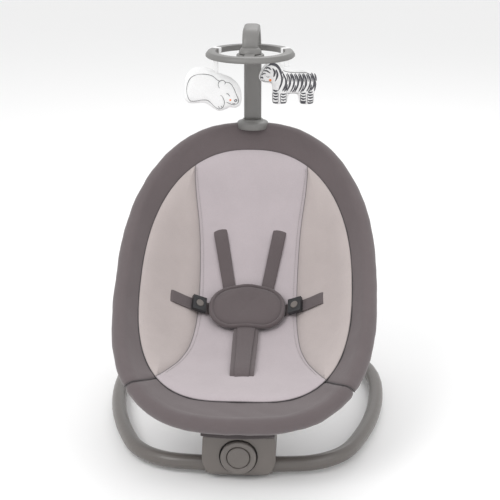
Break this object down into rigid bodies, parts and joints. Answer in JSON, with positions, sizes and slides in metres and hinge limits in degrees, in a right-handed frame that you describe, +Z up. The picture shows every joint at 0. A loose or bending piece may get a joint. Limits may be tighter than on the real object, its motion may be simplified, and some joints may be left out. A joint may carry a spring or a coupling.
{
  "type": "baby swing",
  "caption": "Powered baby swing: floor hoop, front drive pod with dial, reclined egg-shaped fabric seat with harness, and a toy bar with a ring and hanging toys.",
  "frame": {"origin": "on the floor under the middle of the overall box", "axes": "+Z up, -Y towards the drive pod at the front, +X towards the right as seen from the front"},
  "size_m": [0.504, 0.657, 0.6782],
  "materials": {
    "hoop_paint": "satin",
    "pod_plastic": "matte",
    "dial_plastic": "satin",
    "black_plastic": "matte",
    "rubber_black": "matte",
    "board_green": "satin",
    "steel": "satin",
    "bronze": "satin",
    "gear_white": "satin",
    "cover_fabric": "matte",
    "liner_fabric": "matte",
    "webbing": "matte",
    "bar_plastic": "satin",
    "ribbon_white": "matte",
    "bear_plush": "matte",
    "zebra_plush": "matte"
  },
  "bodies": {
    "base": {"base_hoop": "hoop_paint", "hoop_end_plug": "black_plastic", "rear_feet": "rubber_black", "pod_housing": "pod_plastic", "pod_base": "black_plastic", "pod_feet": "rubber_black", "pod_screws": "steel", "dc_socket": "black_plastic", "control_board": "board_green", "dial_encoder": "steel", "speaker": "black_plastic", "chassis": "black_plastic", "upper_bush": "bronze", "lower_bush": "bronze", "drive_motor": "steel", "gear_axle": "steel"},
    "dial": {"speed_dial": "dial_plastic"},
    "power_button": {"power_button": "dial_plastic"},
    "pinion": {"motor_pinion": "bronze"},
    "gear": {"drive_gear": "gear_white"},
    "sway": {"sway_shaft": "steel", "sway_lever": "pod_plastic", "sway_hub": "pod_plastic", "recline_pin": "steel"},
    "recline_button_left": {"recline_button_left": "black_plastic"},
    "recline_button_right": {"recline_button_right": "black_plastic"},
    "seat": {"seat_bracket": "pod_plastic", "front_cradle": "cover_fabric", "spine_tube": "hoop_paint", "rim_tube": "steel", "seat_cover": "cover_fabric", "seat_liner": "liner_fabric", "shoulder_strap_left": "webbing", "shoulder_strap_right": "webbing", "waist_strap_left": "webbing", "waist_strap_right": "webbing", "crotch_strap": "webbing", "tummy_pad": "webbing", "buckle_left": "black_plastic", "buckle_right": "black_plastic", "toy_bar_socket": "bar_plastic"},
    "buckle_button_left": {"buckle_button_left": "pod_plastic"},
    "buckle_button_right": {"buckle_button_right": "pod_plastic"},
    "toy_arch": {"toy_bar": "bar_plastic", "hub_cap": "bar_plastic", "hub_spindle": "steel"},
    "ring": {"toy_ring": "bar_plastic", "toy_loops": "ribbon_white"},
    "bear": {"bear_strap": "ribbon_white", "bear_toy": "bear_plush"},
    "zebra": {"zebra_strap": "ribbon_white", "zebra_toy": "zebra_plush"}
  },
  "joints": [
    {"name": "dial_turn", "type": "hinge", "parent": "base", "child": "dial", "pos_m": [0, -0.271, 0.045], "axis": [0, -1, 0], "range_deg": [-135, 135]},
    {"name": "power_press", "type": "slide", "parent": "base", "child": "power_button", "axis": [0, 1, 0], "range_m": [0, 0.002], "stiffness_N_per_m": 300},
    {"name": "gear_spin", "type": "hinge", "parent": "base", "child": "gear", "pos_m": [0, -0.19539, 0.02268], "axis": [0, 0.342, 0.9397], "continuous": true},
    {"name": "pinion_spin", "type": "hinge", "parent": "base", "child": "pinion", "pos_m": [0.0264, -0.19539, 0.02268], "axis": [0, 0.342, 0.9397], "continuous": true},
    {"name": "seat_sway", "type": "hinge", "parent": "base", "child": "sway", "pos_m": [0, -0.214, 0.05925], "axis": [0, 0.342, 0.9397], "range_deg": [-11.5, 11.5]},
    {"name": "recline_press_left", "type": "slide", "parent": "sway", "child": "recline_button_left", "axis": [1, 0, 0], "range_m": [0, 0.0028], "stiffness_N_per_m": 300},
    {"name": "recline_press_right", "type": "slide", "parent": "sway", "child": "recline_button_right", "axis": [-1, 0, 0], "range_m": [0, 0.0028], "stiffness_N_per_m": 300},
    {"name": "seat_recline", "type": "hinge", "parent": "sway", "child": "seat", "pos_m": [0, -0.195, 0.092], "axis": [-1, 0, 0], "range_deg": [0, 12]},
    {"name": "buckle_press_left", "type": "slide", "parent": "seat", "child": "buckle_button_left", "axis": [-0.4685, 0.4747, -0.7451], "range_m": [0, 0.002], "stiffness_N_per_m": 300},
    {"name": "buckle_press_right", "type": "slide", "parent": "seat", "child": "buckle_button_right", "axis": [0.4685, 0.4747, -0.7451], "range_m": [0, 0.002], "stiffness_N_per_m": 300},
    {"name": "toy_bar_swivel", "type": "hinge", "parent": "seat", "child": "toy_arch", "pos_m": [0, 0.23589, 0.47332], "axis": [0, 0, 1], "range_deg": [-90, 90]},
    {"name": "ring_turn", "type": "hinge", "parent": "toy_arch", "child": "ring", "pos_m": [0, 0.13589, 0.636], "axis": [0, 0, 1], "range_deg": [-30, 30]},
    {"name": "bear_swing", "type": "hinge", "parent": "ring", "child": "bear", "pos_m": [-0.06435, 0.1659, 0.6284], "axis": [1, 0, 0], "range_deg": [-15, 15]},
    {"name": "zebra_swing", "type": "hinge", "parent": "ring", "child": "zebra", "pos_m": [0.06435, 0.1659, 0.6284], "axis": [1, 0, 0], "range_deg": [-15, 15]}
  ],
  "couplings": [
    {"joint": "pinion_spin", "follows": "gear_spin", "ratio": -3}
  ]
}
